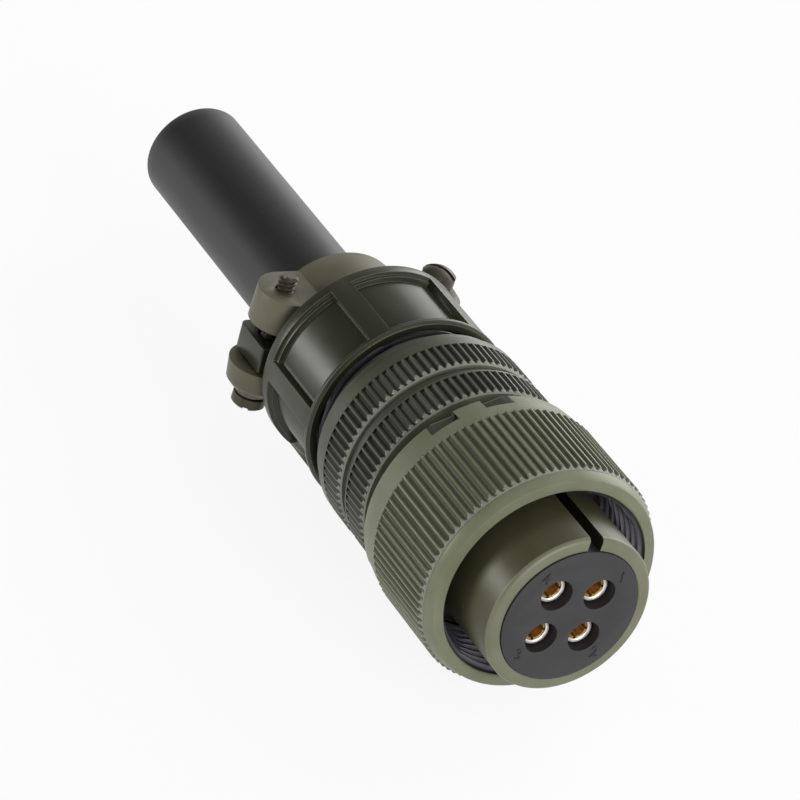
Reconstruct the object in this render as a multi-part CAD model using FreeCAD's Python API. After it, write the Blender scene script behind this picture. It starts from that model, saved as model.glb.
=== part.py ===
"""Straight circular cable plug with a coupling nut, four socket contacts and a cable clamp.

Millimetres. The axis of the plug is X and +X is the mating direction. The origin is the
centre of the barrel's front face. +Z is square to the faces of the clamp bars, and the keyway
is turned a little from +Z towards +Y.
"""
import FreeCAD, Part
import math
import os
from FreeCAD import Vector

AXIS = Vector(1, 0, 0)
UP = Vector(0, 0, 1)
ORIGIN = Vector(0, 0, 0)

# Clearances
GAP = 0.05              # turned fit between two fixed pieces
RUNNING_GAP = 0.06      # radial gap of a piece that turns
FACE_GAP = 0.10         # axial gap between stacked pieces
BUSHING_GAP = 0.30      # clamp bar or cable hole round the soft bushing

# Barrel, journal and bores of the front shell
BARREL_R = 11.5
BARREL_EDGE = 0.55
BARREL_WALL = 1.8
INSERT_BORE_R = BARREL_R - BARREL_WALL
KEYWAY_WIDTH = 1.9
KEYWAY_LENGTH = 14.0
KEYWAY_TURN = 3.5       # degrees from +Z towards +Y
JOURNAL_R = BARREL_R + 0.5
JOURNAL_LEAD = 1.2      # length of the journal in front of the nut's lip
WIRE_BORE_R = INSERT_BORE_R + 0.9

# Coupling nut
NUT_FRONT = -6.6
NUT_REAR = -25.4
NUT_SHOULDER = 1.5      # height of the inner lip, from the journal to the thread
NUT_THREAD_R = JOURNAL_R + NUT_SHOULDER
NUT_THREAD_LENGTH = 10.7
NUT_MOUTH_CHAMFER = 0.7
NUT_MOUTH_R = NUT_THREAD_R + NUT_MOUTH_CHAMFER
NUT_WALL = 3.1          # from the thread to the crests
NUT_CREST_R = NUT_THREAD_R + NUT_WALL
NUT_FLUTE_DEPTH = 0.42
NUT_FLUTES = 90
NUT_FLUTE_REAR = -21.4
NUT_LIP_LENGTH = 1.65   # plain lip in front of the flutes
NUT_LIP_R = NUT_CREST_R - 0.45
NUT_FACE_R = NUT_CREST_R - 0.9
NUT_LIP_STEP = 0.05     # how far the flutes' bevel starts below the lip
NUT_BEVEL_LENGTH = 0.65
COLLAR_R = NUT_CREST_R - 0.15
COLLAR_TAPER = 0.5
COLLAR_REAR_R = COLLAR_R - COLLAR_TAPER

# Lock-wire tabs milled on the collar of the nut
TAB_COUNT = 3
TAB_WIDTH = 3.7
TAB_TURN = -21.5
TAB_HEIGHT = 0.9
TAB_FLAT_R = COLLAR_REAR_R - TAB_HEIGHT
TAB_LENGTH = 2.1
WIRE_HOLE_R = 0.4

# Retaining ring of the nut
NUT_RING_R = NUT_THREAD_R - 0.4
NUT_RING_GROOVE_R = JOURNAL_R - 1.1
NUT_RING_WIDTH = 1.0
RING_SPLIT = 1.6

# Joint between the two shells
GASKET_WIDTH = 2.15
GASKET_THICKNESS = 0.8
SPIGOT_R = WIRE_BORE_R + GASKET_WIDTH
SPIGOT_LENGTH = 4.4
SPIGOT_WALL = 1.85
BACK_CAVITY_R = SPIGOT_R - SPIGOT_WALL

# Fluted bands of the two shells
CREST_SHARE = 0.18      # flat crest as a share of the flutes' pitch
BAND_WALL = 2.45        # from the spigot to the crests
BAND_R = SPIGOT_R + BAND_WALL
BAND_FLUTES = 83
BAND_FLUTE_DEPTH = 0.36
BAND_EDGE_R = BAND_R - 0.5
BAND_BEVEL_LENGTH = 0.6
BAND_RIM_R = BAND_R - 0.06  # plain rim behind the flutes
GROOVE_R = BAND_R - 0.9
FRONT_BAND_FACE = -27.7
FRONT_BAND_REAR = -32.7
FRONT_RIM_LENGTH = 0.4
GROOVE_LENGTH = 1.65    # plain groove between the two bands
SHELL_JOINT = FRONT_BAND_REAR - GROOVE_LENGTH
REAR_BAND_REAR = -40.5
REAR_RIM_LENGTH = 1.6

# Threaded tail of the back shell
TAIL_BOSS_R = BAND_R - 0.65
TAIL_BOSS_LENGTH = 1.6
TAIL_WALL = 1.8
TAIL_R = BACK_CAVITY_R + TAIL_WALL
TAIL_REAR = -52.8
TAIL_CHAMFER = 0.8

# Inserts
INSERT_PROUD = 0.25
FLANGE_FRONT = -18.0
FLANGE_LENGTH = 1.6
REAR_INSERT_LENGTH = 6.4
INSERT_RING_GROOVE_R = WIRE_BORE_R + 0.6
INSERT_RING_WIDTH = 0.9
INSERT_RING_BORE_R = WIRE_BORE_R - 1.3

# Contacts
CONTACT_COUNT = 4
CONTACT_CIRCLE_R = 4.5
CONTACT_TURN = 45.0
HOOD_R = 1.85
HOOD_WALL = 0.2
CONTACT_HOLE_R = HOOD_R + 0.35
CONTACT_HOLE_DEPTH = 3.5
HOOD_FRONT = -1.15
HOOD_LENGTH = 11.0
TINE_BORE_R = 1.2
TINE_R = HOOD_R - HOOD_WALL - GAP
TINE_FRONT = -1.45
TINE_BORE_LENGTH = 10.0
TINE_SLOT = 0.36
TINE_SLOT_LENGTH = 7.0
CONTACT_COLLAR_R = HOOD_R + 0.5
CONTACT_COLLAR_LENGTH = 1.2
CUP_R = 1.95
CUP_BORE_R = 1.4
CUP_LENGTH = 6.0
CUP_BORE_DEPTH = 5.0
CUP_SCOOP_LENGTH = 3.5
CUP_SCOOP_HEIGHT = 0.5

# Rubber cable bushing
BUSHING_R = 7.5
BUSHING_WALL = 2.0
BUSHING_BORE_R = BUSHING_R - BUSHING_WALL
BUSHING_FRONT = -54.6
BUSHING_REAR = -113.1
BUSHING_EDGE = 0.3

# Cable clamp body
RING_FRONT = -44.8
RING_REAR = -59.0
RING_BORE_GAP = 0.10
RING_BORE_R = TAIL_R + RING_BORE_GAP
RING_WALL = 1.9
RING_R = RING_BORE_R + RING_WALL
RING_EDGE = 0.4
RING_MOUTH_R = RING_BORE_R + 0.6  # counterbore in front of the thread
RING_MOUTH_LENGTH = 1.5
RING_REAR_WALL = 1.7
CABLE_HOLE_R = BUSHING_R + BUSHING_GAP
WINDOW_COUNT = 6
WINDOW_RIB = 3.0
WINDOW_FRONT_RIM = 0.9
WINDOW_REAR_RIM = 1.85
WINDOW_LEDGE = 0.45     # step between the rear rim and the floor
WINDOW_LEDGE_DEPTH = 0.55
WINDOW_DEPTH = 1.3

# Clamp screws, which lean in the play of their holes
SCREW_R = 1.3
SCREW_HOLE_R = SCREW_R + 0.3
SCREW_OFFSET = 4.1      # from the side of the bushing to the screw
SCREW_Y = BUSHING_R + SCREW_OFFSET
SCREW_LEAN = 4.0        # degrees about X, top towards +Y
SCREW_TIP = 2.2
SCREW_POINT = 0.3
HEAD_R = 2.35
HEAD_SLOT_TURN = 55.0
HEAD_SIDE = 1.4
HEAD_DOME = 0.95
HEAD_SLOT = 0.7
HEAD_SLOT_DEPTH = 1.05
WASHER_R = HEAD_R - 0.1
WASHER_BORE_R = SCREW_R + 0.2
WASHER_THICKNESS = 1.0
WASHER_SPLIT = 0.5
WASHER_SPLIT_TURN = 200.0

# Ears of the clamp body
EAR_THICKNESS = 3.6
EAR_SHIFT = 0.8
EAR_WALL = 1.1          # beyond the screw hole
EAR_OUT = SCREW_Y + SCREW_HOLE_R + EAR_WALL
EAR_NECK_OUT = EAR_OUT - 1.3
EAR_LENGTH = 7.4
EAR_NECK = 1.6          # gap between the ear's block and the ring
EAR_IN = 9.0
EAR_FRONT_EDGE = 0.35
EAR_REAR_EDGE = 1.1

# Clamp bars
SADDLE_SETBACK = 3.6    # behind the front of the ears
SADDLE_X = RING_REAR - EAR_NECK - SADDLE_SETBACK
SADDLE_WIDTH = 9.2
SADDLE_GRIP_R = BUSHING_R + BUSHING_GAP
ARCH_R = SADDLE_GRIP_R + 2.7
LUG_BOTTOM = 3.15
TAPPED_LUG_INSET = 1.3  # centre of the lug's round end, inward of the screw
TAPPED_LUG_TOP = 8.05
PLAIN_LUG_TOP = 6.95
LUG_TAPER = 0.25
LUG_CHAMFER = 0.8       # round the plain lug's top
LUG_CHAMFER_HEIGHT = 0.9


def turned(outline):
    """Solid turned about the X axis from a closed outline of (x, radius) points."""
    points = [Vector(x, 0, r) for x, r in outline]
    points.append(points[0])
    face = Part.Face(Part.makePolygon(points))
    return face.revolve(ORIGIN, AXIS, 360)


def rod(radius, x0, x1):
    """Cylinder along X from x0 to x1."""
    return Part.makeCylinder(radius, abs(x1 - x0), Vector(min(x0, x1), 0, 0), AXIS)


def sleeve(outer, inner, x0, x1):
    """Tube along X from x0 to x1."""
    return rod(outer, x0, x1).cut(rod(inner, x0, x1))


def box(x0, x1, y0, y1, z0, z1):
    """Box between two corners."""
    return Part.makeBox(x1 - x0, y1 - y0, z1 - z0, Vector(x0, y0, z0))


def spun(shape, degrees):
    """Copy of a shape turned about the X axis, from +Z towards +Y."""
    copy = shape.copy()
    copy.rotate(ORIGIN, AXIS, -degrees)
    return copy


def leaned(shape, side=1):
    """Shape made upright on the Z axis, set on the screw's leaning axis at one side."""
    return spun(shape, SCREW_LEAN).translated(Vector(SADDLE_X, side * SCREW_Y, 0))


def polar(radius, degrees):
    """Point at an angle from +Z towards +Y, as (y, z)."""
    angle = math.radians(degrees)
    return radius * math.sin(angle), radius * math.cos(angle)


def fluted_bar(crest, depth, count, x0, x1):
    """Bar along X whose section is a ring of V flutes with narrow flat crests."""
    pitch = 360.0 / count
    section = ((crest, 0.0), (crest, CREST_SHARE), (crest - depth, (1 + CREST_SHARE) / 2))
    points = []
    for i in range(count):
        for radius, place in section:
            y, z = polar(radius, (i + place) * pitch)
            points.append(Vector(x0, y, z))
    points.append(points[0])
    return Part.Face(Part.makePolygon(points)).extrude(Vector(x1 - x0, 0, 0))


def faceted_cone(count, x0, r0, x1, r1):
    """Cone along X with one flat facet on each crest of the flutes."""
    pitch = 360.0 / count
    rings = []
    for x, radius in ((x0, r0), (x1, r1)):
        angles = [(i + (1 + CREST_SHARE) / 2) * pitch for i in range(count)]
        rings.append([Vector(x, *polar(radius, angle)) for angle in angles])
    near, far = rings
    faces = [Part.Face(Part.makePolygon(ring + ring[:1])) for ring in rings]
    for i in range(count):
        k = (i + 1) % count
        faces.append(Part.Face(Part.makePolygon([near[i], near[k], far[k], far[i], near[i]])))
    return Part.Solid(Part.Shell(faces))


def flute_cutter(crest, depth, count, rear, front, edge_r, bevel_length, clear):
    """Everything outside a fluted band, whose front edge is bevelled down to edge_r.

    clear is how far the cutter reaches in front of the band.
    """
    slope = (crest - edge_r) / bevel_length
    x0, x1 = rear - 1, front + clear + 1
    cone = faceted_cone(count, x0, edge_r + slope * (front - x0), x1, edge_r + slope * (front - x1))
    band = fluted_bar(crest, depth, count, x0, x1).common(cone)
    return rod(crest + 2, rear, front + clear).cut(band)


def split(ring, radius, width, degrees):
    """Ring with a gap cut in it at an angle from +Z."""
    low, high = ring.BoundBox.XMin - 1, ring.BoundBox.XMax + 1
    gap = box(low, high, -width / 2, width / 2, 0, radius + 1)
    return ring.cut(spun(gap, degrees))


def contact_places():
    """Centre of each contact as (y, z)."""
    step = 360.0 / CONTACT_COUNT
    first = CONTACT_TURN + KEYWAY_TURN
    return [polar(CONTACT_CIRCLE_R, first + i * step) for i in range(CONTACT_COUNT)]


def keyway():
    """Slot through the barrel's wall with its outer corners eased."""
    half = KEYWAY_WIDTH / 2
    flare = BARREL_EDGE / 4
    profile = [(-half, 0), (half, 0), (half, BARREL_R - flare * 2), (half + flare, BARREL_R + 1),
               (-half - flare, BARREL_R + 1), (-half, BARREL_R - flare * 2)]
    points = [Vector(-KEYWAY_LENGTH, y, z) for y, z in profile]
    points.append(points[0])
    slot = Part.Face(Part.makePolygon(points)).extrude(Vector(KEYWAY_LENGTH + 1, 0, 0))
    core = rod(INSERT_BORE_R - GAP * 2, -KEYWAY_LENGTH - 1, 2)
    return spun(slot.cut(core), KEYWAY_TURN)


def lip_front():
    """Front of the nut's inner lip, where its thread ends."""
    return NUT_FRONT - NUT_THREAD_LENGTH


def spigot_front():
    """Front face of the back shell's spigot."""
    return SHELL_JOINT + SPIGOT_LENGTH


def gasket_front():
    """Front face of the seal between the shells."""
    return spigot_front() + GASKET_THICKNESS


def insert_ring_front():
    """Front face of the ring that keeps the inserts in."""
    return FLANGE_FRONT - FLANGE_LENGTH - REAR_INSERT_LENGTH - 2 * FACE_GAP


def shell_cutter(rear, front):
    """Cutter of a shell's fluted band between its rim and its front face."""
    return flute_cutter(BAND_R, BAND_FLUTE_DEPTH, BAND_FLUTES, rear, front,
                        BAND_EDGE_R, BAND_BEVEL_LENGTH, 0.5)


def front_shell():
    """Barrel, journal and front fluted band, turned from one bar."""
    journal_front = lip_front() + JOURNAL_LEAD
    over = BAND_R + 1
    rim = FRONT_BAND_REAR + FRONT_RIM_LENGTH
    blank = turned([
        (0, INSERT_BORE_R), (0, BARREL_R - BARREL_EDGE), (-BARREL_EDGE, BARREL_R),
        (journal_front, BARREL_R), (journal_front, JOURNAL_R), (FRONT_BAND_FACE, JOURNAL_R),
        (FRONT_BAND_FACE, over), (rim, over), (rim, BAND_RIM_R), (FRONT_BAND_REAR, BAND_RIM_R),
        (FRONT_BAND_REAR, GROOVE_R), (SHELL_JOINT, GROOVE_R),
        (SHELL_JOINT, SPIGOT_R + GAP), (gasket_front(), SPIGOT_R + GAP),
        (gasket_front(), WIRE_BORE_R), (FLANGE_FRONT, WIRE_BORE_R), (FLANGE_FRONT, INSERT_BORE_R)])
    groove_rear = lip_front() + FACE_GAP / 2
    groove = sleeve(JOURNAL_R + 1, NUT_RING_GROOVE_R, groove_rear, groove_rear + NUT_RING_WIDTH + FACE_GAP)
    inner_front = insert_ring_front() + FACE_GAP / 2
    inner = rod(INSERT_RING_GROOVE_R, inner_front - INSERT_RING_WIDTH - FACE_GAP, inner_front)
    return blank.cut(shell_cutter(rim, FRONT_BAND_FACE)).cut(groove).cut(inner).cut(keyway())


def lock_wire_cutter():
    """Flats milled on both sides of one lock-wire tab, and the wire hole through it."""
    flat = box(NUT_REAR - 1, NUT_REAR + TAB_LENGTH, -NUT_CREST_R, NUT_CREST_R, TAB_FLAT_R, NUT_CREST_R + 2)
    tab = box(NUT_REAR - 2, NUT_REAR + TAB_LENGTH + 1, -TAB_WIDTH / 2, TAB_WIDTH / 2, 0, NUT_CREST_R + 3)
    middle = (TAB_FLAT_R + COLLAR_REAR_R) / 2
    hole = Part.makeCylinder(WIRE_HOLE_R, 2 * TAB_WIDTH,
                             Vector(NUT_REAR + TAB_LENGTH / 2, -TAB_WIDTH, middle), Vector(0, 1, 0))
    return flat.cut(tab).fuse(hole)


def coupling_nut():
    """Fluted nut with a plain lip, a threaded mouth and a conical collar."""
    bore = JOURNAL_R + RUNNING_GAP
    mouth = NUT_MOUTH_R - NUT_THREAD_R
    lip_rear = NUT_FRONT - NUT_LIP_LENGTH
    over = NUT_CREST_R + 1
    blank = turned([
        (NUT_FRONT, NUT_MOUTH_R), (NUT_FRONT, NUT_FACE_R), (lip_rear, NUT_LIP_R), (lip_rear, over),
        (NUT_FLUTE_REAR, over), (NUT_FLUTE_REAR, COLLAR_R), (NUT_REAR, COLLAR_REAR_R),
        (NUT_REAR, bore), (lip_front(), bore), (lip_front(), NUT_THREAD_R),
        (NUT_FRONT - mouth, NUT_THREAD_R)])
    nut = blank.cut(flute_cutter(NUT_CREST_R, NUT_FLUTE_DEPTH, NUT_FLUTES, NUT_FLUTE_REAR, lip_rear,
                                 NUT_LIP_R - NUT_LIP_STEP, NUT_BEVEL_LENGTH, 0))
    for i in range(TAB_COUNT):
        nut = nut.cut(spun(lock_wire_cutter(), TAB_TURN + i * 360.0 / TAB_COUNT))
    return nut


def nut_retaining_ring():
    """Split ring in the shell's groove, in front of the nut's lip."""
    rear = lip_front() + FACE_GAP
    ring = sleeve(NUT_RING_R, NUT_RING_GROOVE_R + GAP, rear, rear + NUT_RING_WIDTH)
    return split(ring, NUT_RING_R, RING_SPLIT, 180)


def front_insulator():
    """Moulded insert with one stepped hole for each contact."""
    front = INSERT_PROUD
    body = turned([
        (front, 0), (front, INSERT_BORE_R - GAP),
        (FLANGE_FRONT - GAP, INSERT_BORE_R - GAP), (FLANGE_FRONT - GAP, WIRE_BORE_R - GAP),
        (FLANGE_FRONT - FLANGE_LENGTH, WIRE_BORE_R - GAP), (FLANGE_FRONT - FLANGE_LENGTH, 0)])
    mouth = Part.makeCylinder(CONTACT_HOLE_R, CONTACT_HOLE_DEPTH + front,
                              Vector(-CONTACT_HOLE_DEPTH, 0, 0), AXIS)
    seat = rod(HOOD_R + GAP, FLANGE_FRONT - FLANGE_LENGTH - 1, 0)
    hole = mouth.fuse(seat)
    for y, z in contact_places():
        body = body.cut(hole.translated(Vector(0, y, z)))
    return body


def rear_insulator_front():
    """Front face of the rear insert."""
    return FLANGE_FRONT - FLANGE_LENGTH - FACE_GAP


def rear_insulator():
    """Second insert, which traps the contact collars against the first."""
    front = rear_insulator_front()
    body = rod(WIRE_BORE_R - GAP, front - REAR_INSERT_LENGTH, front)
    pocket = rod(CONTACT_COLLAR_R + GAP, front - CONTACT_COLLAR_LENGTH - FACE_GAP, front + 1)
    hole = pocket.fuse(rod(CUP_R + GAP, front - REAR_INSERT_LENGTH - 1, front))
    for y, z in contact_places():
        body = body.cut(hole.translated(Vector(0, y, z)))
    return body


def insert_retaining_ring():
    """Split ring behind the rear insert."""
    front = insert_ring_front()
    ring = sleeve(INSERT_RING_GROOVE_R - GAP, INSERT_RING_BORE_R, front - INSERT_RING_WIDTH, front)
    return split(ring, INSERT_RING_GROOVE_R, RING_SPLIT, 180)


def contact():
    """Socket contact on the X axis: four tines, a collar and a solder cup."""
    collar_front = rear_insulator_front()
    collar_rear = collar_front - CONTACT_COLLAR_LENGTH
    cup_rear = collar_front - REAR_INSERT_LENGTH - CUP_LENGTH
    hood_rear = HOOD_FRONT - HOOD_LENGTH - GAP
    body = turned([
        (TINE_FRONT, TINE_BORE_R), (TINE_FRONT, TINE_R), (hood_rear, TINE_R), (hood_rear, HOOD_R),
        (collar_front, HOOD_R), (collar_front, CONTACT_COLLAR_R), (collar_rear, CONTACT_COLLAR_R),
        (collar_rear, CUP_R), (cup_rear, CUP_R), (cup_rear, CUP_BORE_R),
        (cup_rear + CUP_BORE_DEPTH, CUP_BORE_R), (cup_rear + CUP_BORE_DEPTH, 0),
        (TINE_FRONT - TINE_BORE_LENGTH, 0), (TINE_FRONT - TINE_BORE_LENGTH, TINE_BORE_R)])
    reach = TINE_R + 1
    for angle in (0, 90):
        slot = box(TINE_FRONT - TINE_SLOT_LENGTH, TINE_FRONT + 1,
                   -TINE_SLOT / 2, TINE_SLOT / 2, -reach, reach)
        body = body.cut(spun(slot, angle))
    scoop = box(cup_rear - 1, cup_rear + CUP_SCOOP_LENGTH, -reach, reach, CUP_SCOOP_HEIGHT, reach)
    return body.cut(scoop)


def hood():
    """Thin sleeve pressed round the tines of a contact."""
    return sleeve(HOOD_R, HOOD_R - HOOD_WALL, HOOD_FRONT, HOOD_FRONT - HOOD_LENGTH)


def shell_gasket():
    """Flat seal between the front shell and the back shell's spigot."""
    rear = spigot_front() + GAP
    return sleeve(SPIGOT_R - GAP, WIRE_BORE_R + GAP, rear, gasket_front() - GAP)


def back_shell():
    """Rear fluted band with a spigot in front and a threaded tail behind."""
    boss_rear = REAR_BAND_REAR - TAIL_BOSS_LENGTH
    over = BAND_R + 1
    rim = REAR_BAND_REAR + REAR_RIM_LENGTH
    face = SHELL_JOINT - GAP
    blank = turned([
        (spigot_front(), BACK_CAVITY_R), (spigot_front(), SPIGOT_R), (face, SPIGOT_R), (face, over),
        (rim, over), (rim, BAND_RIM_R), (REAR_BAND_REAR, BAND_RIM_R), (REAR_BAND_REAR, TAIL_BOSS_R),
        (boss_rear, TAIL_BOSS_R), (boss_rear, TAIL_R), (TAIL_REAR + TAIL_CHAMFER, TAIL_R),
        (TAIL_REAR, TAIL_R - TAIL_CHAMFER), (TAIL_REAR, BACK_CAVITY_R)])
    return blank.cut(shell_cutter(rim, face))


def sector(x0, x1, r0, r1, middle, width):
    """Part of a tube, width degrees wide, about an angle from +Z."""
    corners = [(x0, r0), (x1, r0), (x1, r1), (x0, r1), (x0, r0)]
    face = Part.Face(Part.makePolygon([Vector(x, 0, r) for x, r in corners]))
    return spun(face.revolve(ORIGIN, AXIS, -width), middle - width / 2)


def clamp_window(middle):
    """One recess in the clamp ring, with a ledge along its rear rim."""
    width = 360.0 / WINDOW_COUNT - math.degrees(WINDOW_RIB / RING_R)
    rear = RING_REAR + WINDOW_REAR_RIM
    front = RING_FRONT - WINDOW_FRONT_RIM
    floor = sector(rear + WINDOW_LEDGE, front, RING_R - WINDOW_DEPTH, RING_R + 1, middle, width)
    ledge = sector(rear, front, RING_R - WINDOW_LEDGE_DEPTH, RING_R + 1, middle, width)
    return floor.fuse(ledge)


def ear(side):
    """Ear of the clamp body with a clearance hole for the screw."""
    front = RING_REAR - EAR_NECK
    rear = front - EAR_LENGTH
    centre = side * EAR_SHIFT
    low, high = centre - EAR_THICKNESS / 2, centre + EAR_THICKNESS / 2
    y0, y1 = sorted((side * EAR_IN, side * EAR_OUT))
    block = box(rear, front, y0, y1, low, high)
    for x, radius in ((front, EAR_FRONT_EDGE), (rear, EAR_REAR_EDGE)):
        corner = Vector(x, side * EAR_OUT, centre)
        edges = [e for e in block.Edges if e.CenterOfMass.distanceToPoint(corner) < 0.01]
        block = block.makeFillet(radius, edges)
    n0, n1 = sorted((side * EAR_IN, side * EAR_NECK_OUT))
    neck = box(front - 0.5, RING_REAR + 0.5, n0, n1, low, high)
    hole = Part.makeCylinder(SCREW_HOLE_R, 4 * EAR_THICKNESS, Vector(0, 0, -2 * EAR_THICKNESS), UP)
    return block.fuse(neck).cut(leaned(hole, side))


def clamp_body():
    """Clamp ring with six recessed windows, a bore for the tail's thread and two ears."""
    edge = RING_EDGE
    bore = RING_BORE_R
    wall_front = RING_REAR + RING_REAR_WALL
    mouth_rear = RING_FRONT - RING_MOUTH_LENGTH
    ring = turned([
        (RING_FRONT, RING_MOUTH_R), (RING_FRONT, RING_R - edge), (RING_FRONT - edge, RING_R),
        (RING_REAR + edge, RING_R), (RING_REAR, RING_R - edge), (RING_REAR, CABLE_HOLE_R),
        (wall_front, CABLE_HOLE_R), (wall_front, bore), (mouth_rear, bore), (mouth_rear, RING_MOUTH_R)])
    for i in range(WINDOW_COUNT):
        ring = ring.cut(clamp_window(i * 360.0 / WINDOW_COUNT))
    return ring.fuse(ear(-1)).fuse(ear(1)).removeSplitter()


def lug_layer(centre, low, high, half_low, half_high):
    """Round-ended slab from the middle of the bar to a lug's centre, with drafted sides."""
    boss = Part.makeCone(half_low, half_high, high - low, Vector(SADDLE_X, centre, low), UP)
    profile = [Vector(SADDLE_X - half_low, 0, low), Vector(SADDLE_X + half_low, 0, low),
               Vector(SADDLE_X + half_high, 0, high), Vector(SADDLE_X - half_high, 0, high)]
    profile.append(profile[0])
    bridge = Part.Face(Part.makePolygon(profile)).extrude(Vector(0, centre, 0))
    return boss.fuse(bridge)


def saddle_lugs():
    """Tapped lug at the left of the upper bar, and the lower plain lug at its right."""
    half = SADDLE_WIDTH / 2
    top = half - LUG_TAPER
    shoulder = PLAIN_LUG_TOP - LUG_CHAMFER_HEIGHT
    tapped = lug_layer(-SCREW_Y + TAPPED_LUG_INSET, LUG_BOTTOM, TAPPED_LUG_TOP, half, top)
    plain = lug_layer(SCREW_Y, LUG_BOTTOM, shoulder, half, top)
    crown = lug_layer(SCREW_Y, shoulder, PLAIN_LUG_TOP, top, top - LUG_CHAMFER)
    return tapped.fuse(plain).fuse(crown)


def saddle():
    """Upper clamp bar: an arch over the cable between a tapped lug and a plain lug."""
    half = SADDLE_WIDTH / 2
    arch = sleeve(ARCH_R, SADDLE_GRIP_R, SADDLE_X - half, SADDLE_X + half)
    reach = ARCH_R + SADDLE_WIDTH
    below = box(SADDLE_X - reach, SADDLE_X + reach, -reach, reach, -reach, LUG_BOTTOM)
    cable = rod(SADDLE_GRIP_R, SADDLE_X - reach, SADDLE_X + reach)
    bar = arch.fuse(saddle_lugs()).cut(below).cut(cable)
    for side, radius in ((-1, SCREW_R + RUNNING_GAP), (1, SCREW_HOLE_R)):
        hole = Part.makeCylinder(radius, 2 * TAPPED_LUG_TOP, ORIGIN, UP)
        bar = bar.cut(leaned(hole, side))
    return bar.removeSplitter()


def along_screw(height):
    """Distance along a leaning screw at which it reaches a height above the plug's axis."""
    return height / math.cos(math.radians(SCREW_LEAN))


def head_seat():
    """Place of the head's underside on the screw, whose low side clears the washer."""
    drop = HEAD_R * math.sin(math.radians(SCREW_LEAN))
    return along_screw(PLAIN_LUG_TOP + WASHER_THICKNESS + GAP + drop)


def screw():
    """Right-hand clamp screw: slotted domed head on top, point below."""
    tip = -along_screw(TAPPED_LUG_TOP + SCREW_TIP)
    seat = head_seat()
    dome_r = (HEAD_R ** 2 + HEAD_DOME ** 2) / (2 * HEAD_DOME)
    top = seat + HEAD_SIDE + HEAD_DOME
    shank = Part.makeCylinder(SCREW_R, seat - tip - SCREW_POINT, Vector(0, 0, tip + SCREW_POINT), UP)
    point = Part.makeCone(SCREW_R - SCREW_POINT, SCREW_R, SCREW_POINT, Vector(0, 0, tip), UP)
    head = Part.makeCylinder(HEAD_R, HEAD_SIDE + HEAD_DOME, Vector(0, 0, seat), UP)
    head = head.common(Part.makeSphere(dome_r, Vector(0, 0, top - dome_r)))
    slot = box(-HEAD_R - 1, HEAD_R + 1, -HEAD_SLOT / 2, HEAD_SLOT / 2, top - HEAD_SLOT_DEPTH, top + 1)
    slot.rotate(ORIGIN, UP, HEAD_SLOT_TURN)
    return leaned(shank.fuse(point).fuse(head.cut(slot)).removeSplitter())


def washer():
    """Split lock washer, flat on the plain lug under the right-hand screw head."""
    ring = Part.makeCylinder(WASHER_R, WASHER_THICKNESS, ORIGIN, UP)
    ring = ring.cut(Part.makeCylinder(WASHER_BORE_R, WASHER_THICKNESS, ORIGIN, UP))
    gap = box(0, WASHER_R + 1, -WASHER_SPLIT / 2, WASHER_SPLIT / 2, -1, WASHER_THICKNESS + 1)
    gap.rotate(ORIGIN, UP, WASHER_SPLIT_TURN)
    middle = (PLAIN_LUG_TOP + WASHER_THICKNESS / 2) * math.tan(math.radians(SCREW_LEAN))
    return ring.cut(gap).translated(Vector(SADDLE_X, SCREW_Y + middle, PLAIN_LUG_TOP))


def cable_bushing():
    """Rubber tube that the clamp bars squeeze on the cable."""
    edge = BUSHING_EDGE
    return turned([
        (BUSHING_FRONT, BUSHING_BORE_R), (BUSHING_FRONT, BUSHING_R - edge), (BUSHING_FRONT - edge, BUSHING_R),
        (BUSHING_REAR + edge, BUSHING_R), (BUSHING_REAR, BUSHING_R - edge), (BUSHING_REAR, BUSHING_BORE_R)])


def build():
    """All nodes by name."""
    nodes = {
        "front_shell": front_shell(),
        "coupling_nut": coupling_nut(),
        "nut_retaining_ring": nut_retaining_ring(),
        "front_insulator": front_insulator(),
        "rear_insulator": rear_insulator(),
        "insert_retaining_ring": insert_retaining_ring(),
        "shell_gasket": shell_gasket(),
        "back_shell": back_shell(),
        "clamp_body": clamp_body(),
        "cable_bushing": cable_bushing(),
    }
    for turn, bar, side in ((0, "upper", "right"), (180, "lower", "left")):
        nodes[f"{bar}_saddle"] = spun(saddle(), turn)
        nodes[f"screw_{side}"] = spun(screw(), turn)
        nodes[f"washer_{side}"] = spun(washer(), turn)
    for i, (y, z) in enumerate(contact_places(), start=1):
        nodes[f"contact_{i}"] = contact().translated(Vector(0, y, z))
        nodes[f"hood_{i}"] = hood().translated(Vector(0, y, z))
    return nodes


os.makedirs("parts", exist_ok=True)
for name, shape in build().items():
    shape.exportStep(f"parts/{name}.step")
    print(name, shape.isValid(), len(shape.Solids), round(shape.Volume, 2))
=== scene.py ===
"""Looks of a straight circular cable plug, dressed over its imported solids.

Blender works in metres. Sizes of the pieces are written in millimetres and scaled by MM.
The plug's axis is X, and +X is the mating direction.
"""

import math

import bpy
import numpy as np
from mathutils import Matrix, Vector


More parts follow.
